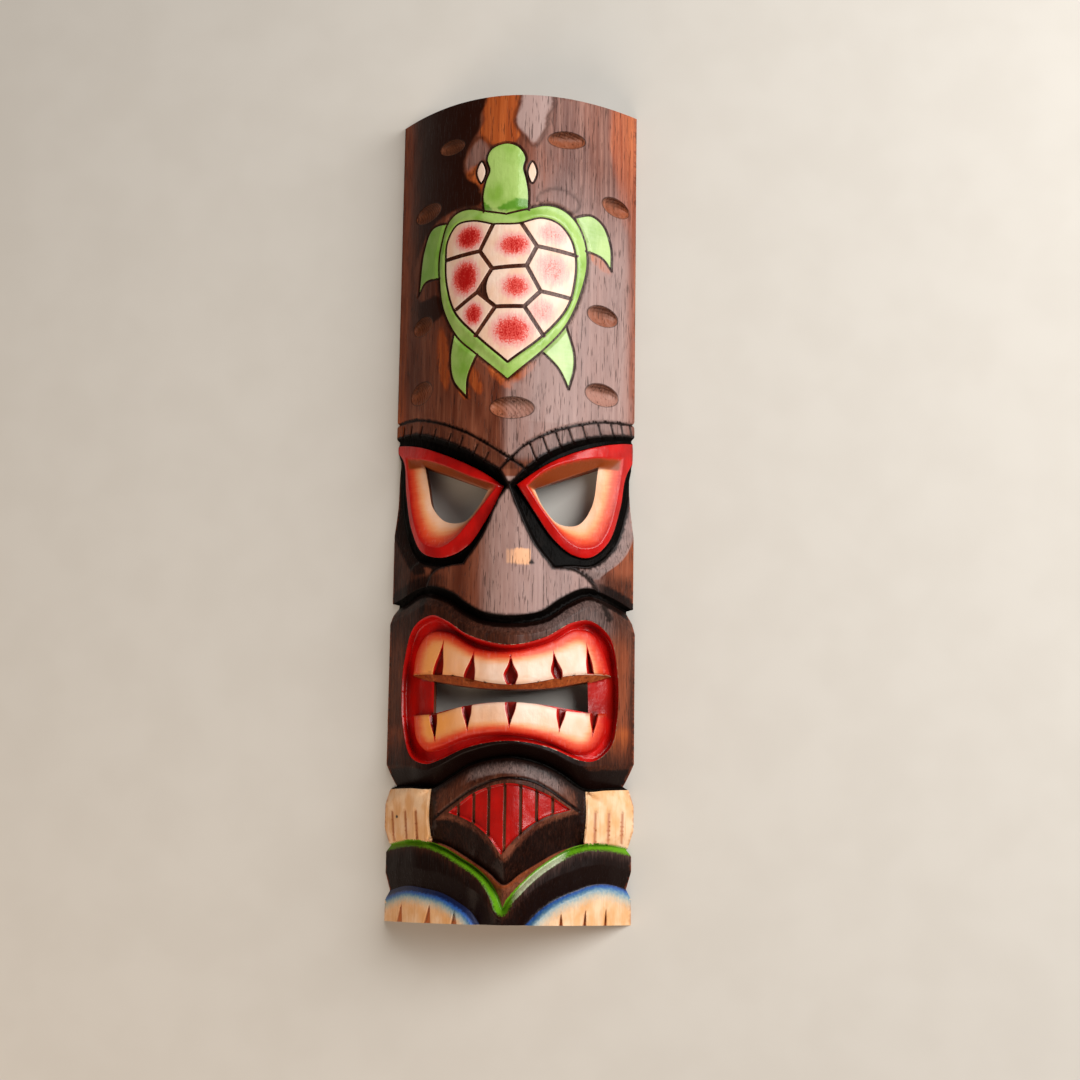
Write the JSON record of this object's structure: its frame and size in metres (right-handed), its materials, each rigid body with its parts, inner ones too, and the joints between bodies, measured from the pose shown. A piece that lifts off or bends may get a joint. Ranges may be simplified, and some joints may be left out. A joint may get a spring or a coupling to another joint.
{
  "type": "carved wooden tiki mask",
  "caption": "Long carved and painted wooden tiki mask with cut-through eyes and mouth, bared teeth, a turtle on the forehead, hands, a striped leaf belly and feet, hollowed behind.",
  "frame": {"origin": "middle of the back, on the plane that the mask lies on", "axes": "+X to the right as the face is seen, +Y to the top of the mask, +Z out of the face"},
  "size_m": [0.1504, 0.5018, 0.051],
  "materials": {
    "carved_wood": "dark stained and lacquered wood, with red, cream, green, blue and black paint in the carving"
  },
  "bodies": {
    "root": {"mask": "carved_wood"}
  },
  "joints": []
}
